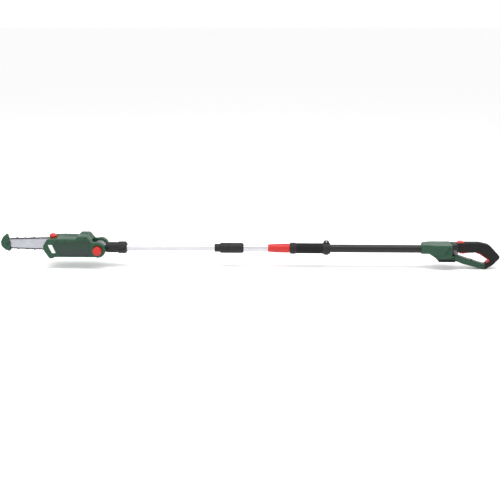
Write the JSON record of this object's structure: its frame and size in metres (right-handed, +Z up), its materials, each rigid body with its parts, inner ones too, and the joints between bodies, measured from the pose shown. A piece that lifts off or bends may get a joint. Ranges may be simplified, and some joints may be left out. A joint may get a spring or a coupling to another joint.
{
  "type": "telescoping pole saw",
  "caption": "Battery chain saw head that tilts on the front of a telescoping pole, with a looped grip, trigger and slide-in battery at the rear.",
  "frame": {"origin": "centre of the carrying strap's eye, on top of the strap ring, 30 mm above the pole's axis", "axes": "+X along the pole towards the handle, +Z up, Y across along the eye's bore"},
  "size_m": [2.2106, 0.1155, 0.1523],
  "materials": {
    "green_housing": "satin moulded",
    "black_plastic": "matt moulded",
    "soft_rubber": "matt overmould",
    "red_plastic": "satin moulded",
    "tube_aluminium": "drawn and anodised",
    "black_tube": "black coated",
    "steel": "ground",
    "chain_steel": "blued",
    "cast_metal": "die cast",
    "tank_plastic": "translucent",
    "grey_plastic": "matt moulded",
    "dark_panel": "satin moulded",
    "brass": "turned"
  },
  "bodies": {
    "handle_pole": {"outer_tube": "black_tube", "grip_body": "soft_rubber", "grip_front_ring": "black_plastic", "strap_ring": "black_plastic", "strap_ring_screw": "steel", "telescope_collet": "black_plastic", "handle_shell_left": "green_housing", "handle_shell_right": "green_housing", "soft_grip": "soft_rubber", "grip_trim": "red_plastic", "grip_base": "black_plastic", "vent_insert": "grey_plastic", "handle_screws": "steel", "trigger_pin": "steel", "trigger_spring": "steel", "lock_off_spring": "steel", "switch_module": "black_plastic", "battery_dock": "black_plastic"},
    "telescope_nut": {"telescope_nut": "red_plastic"},
    "inner_pole": {"inner_tube": "tube_aluminium", "coupler_body": "black_plastic"},
    "coupler_nut": {"coupler_nut": "black_plastic"},
    "front_pole": {"front_tube": "tube_aluminium", "head_collar": "black_plastic", "collar_screws": "steel", "pivot_knuckle": "cast_metal"},
    "saw_head": {"head_shell_left": "green_housing", "head_shell_right": "green_housing", "side_panel": "dark_panel", "sprocket_cover": "green_housing", "gearbox_plate": "cast_metal", "bar_studs": "steel", "bar_nuts": "steel", "oil_tank": "tank_plastic", "motor_can": "steel", "output_bearings": "steel", "pivot_pin": "steel", "pivot_spring": "steel", "head_screws": "steel"},
    "pivot_button": {"pivot_button": "red_plastic"},
    "oil_cap": {"oil_cap": "red_plastic"},
    "bar_and_chain": {"guide_bar": "steel", "chain_drive_links": "chain_steel", "chain_tie_straps": "chain_steel", "chain_cutters": "steel", "chain_rivets": "chain_steel", "nose_guard": "green_housing", "nose_guard_screw": "steel", "tension_block": "brass"},
    "nose_sprocket": {"nose_sprocket": "steel"},
    "tension_screw": {"tension_screw": "steel"},
    "motor_rotor": {"motor_rotor": "steel"},
    "output_drive": {"output_shaft": "steel", "output_gear": "steel", "drive_sprocket": "steel"},
    "trigger": {"trigger": "red_plastic"},
    "lock_off_button": {"lock_off_button": "red_plastic"},
    "battery": {"battery_case": "black_plastic", "battery_cells": "steel"},
    "battery_latch": {"battery_latch": "black_plastic"}
  },
  "joints": [
    {"name": "pole_telescope", "type": "slide", "parent": "handle_pole", "child": "inner_pole", "axis": [-1, 0, 0], "range_m": [-0.1, 0.4]},
    {"name": "telescope_nut_turn", "type": "hinge", "parent": "handle_pole", "child": "telescope_nut", "pos_m": [-0.2, 0, -0.03], "axis": [1, 0, 0], "range_deg": [0, 90]},
    {"name": "coupler_nut_turn", "type": "hinge", "parent": "inner_pole", "child": "coupler_nut", "pos_m": [-0.46, 0, -0.03], "axis": [1, 0, 0], "range_deg": [0, 180]},
    {"name": "front_pole_pull_out", "type": "slide", "parent": "inner_pole", "child": "front_pole", "axis": [-1, 0, 0], "range_m": [0, 0.06]},
    {"name": "head_tilt", "type": "hinge", "parent": "front_pole", "child": "saw_head", "pos_m": [-1.0025, 0, -0.03], "axis": [0, -1, 0], "range_deg": [0, 60]},
    {"name": "pivot_button_press", "type": "slide", "parent": "saw_head", "child": "pivot_button", "axis": [0, 1, 0], "range_m": [0, 0.004], "stiffness_N_per_m": 1500, "springref_m": -0.003, "deforming": ["pivot_spring"]},
    {"name": "oil_cap_turn", "type": "hinge", "parent": "saw_head", "child": "oil_cap", "pos_m": [-1.206, 0.002, 0.02], "axis": [0, 0, 1], "range_deg": [0, 90]},
    {"name": "bar_tension", "type": "slide", "parent": "saw_head", "child": "bar_and_chain", "axis": [1, 0, 0], "range_m": [0, 0.003]},
    {"name": "tension_screw_turn", "type": "hinge", "parent": "saw_head", "child": "tension_screw", "pos_m": [-1.2111, 0.0105, -0.034], "axis": [1, 0, 0], "range_deg": [-5, 1355]},
    {"name": "output_spin", "type": "hinge", "parent": "saw_head", "child": "output_drive", "pos_m": [-1.1651, 0.02, -0.0235], "axis": [0, 1, 0], "continuous": true},
    {"name": "motor_spin", "type": "hinge", "parent": "saw_head", "child": "motor_rotor", "pos_m": [-1.12548, 0, -0.018], "axis": [0, 1, 0], "continuous": true},
    {"name": "nose_sprocket_spin", "type": "hinge", "parent": "bar_and_chain", "child": "nose_sprocket", "pos_m": [-1.4185, 0.028, -0.0235], "axis": [0, 1, 0], "continuous": true},
    {"name": "trigger_squeeze", "type": "hinge", "parent": "handle_pole", "child": "trigger", "pos_m": [0.59, 0, -0.028], "axis": [0, -1, 0], "range_deg": [0, 6], "stiffness_Nm_per_rad": 1.5, "springref_deg": -11.46, "deforming": ["trigger_spring"]},
    {"name": "lock_off_press", "type": "slide", "parent": "handle_pole", "child": "lock_off_button", "axis": [0, 0, -1], "range_m": [0, 0.003], "stiffness_N_per_m": 800, "springref_m": -0.002, "deforming": ["lock_off_spring"]},
    {"name": "battery_slide", "type": "slide", "parent": "handle_pole", "child": "battery", "axis": [0, 0, -1], "range_m": [0, 0.05]},
    {"name": "battery_latch_press", "type": "slide", "parent": "battery", "child": "battery_latch", "axis": [1, 0, 0], "range_m": [0, 0.003], "stiffness_N_per_m": 600, "springref_m": -0.002}
  ],
  "couplings": [
    {"joint": "tension_screw_turn", "follows": "bar_tension", "rad_per_m": 7854},
    {"joint": "motor_spin", "follows": "output_spin", "ratio": -4},
    {"joint": "nose_sprocket_spin", "follows": "output_spin", "ratio": 1}
  ]
}
